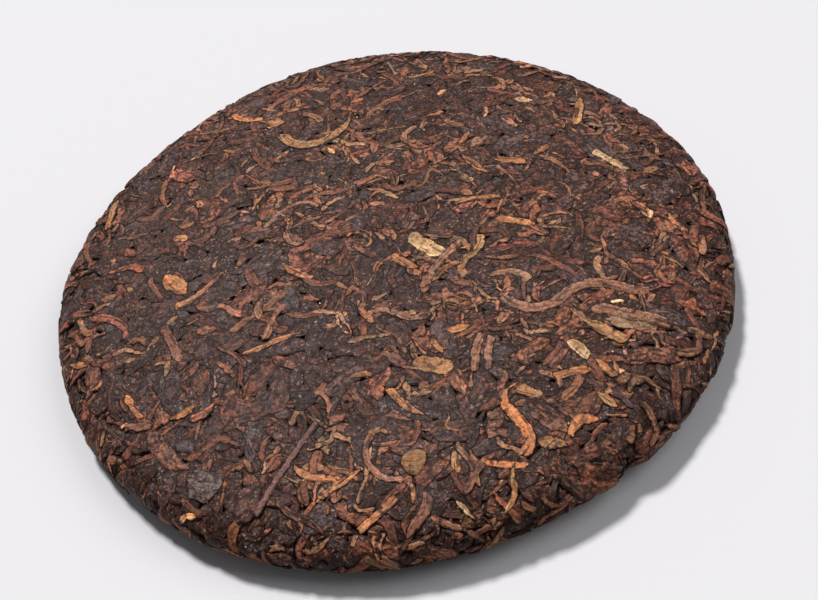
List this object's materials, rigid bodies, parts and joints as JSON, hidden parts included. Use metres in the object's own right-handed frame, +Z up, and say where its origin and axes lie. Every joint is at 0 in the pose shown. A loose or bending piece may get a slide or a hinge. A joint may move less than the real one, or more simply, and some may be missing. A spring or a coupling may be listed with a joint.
{
  "type": "pressed tea cake",
  "caption": "Round pressed cake of ripe pu erh tea: domed crown, rounded uneven rim, flat base ring and a shallow dimple in the underside.",
  "frame": {"origin": "centre of the bounding box in X and Y, on the plane of the base ring", "axes": "+Z up through the crown, along the axis of the round cake; X and Y lie in the plane it rests on, with +Y away from the viewer at azimuth 0"},
  "size_m": [0.1994, 0.2016, 0.023],
  "materials": {
    "pressed_leaf": "matte, densely pressed tea leaf"
  },
  "bodies": {
    "root": {"tea_cake": "pressed_leaf"}
  },
  "joints": []
}
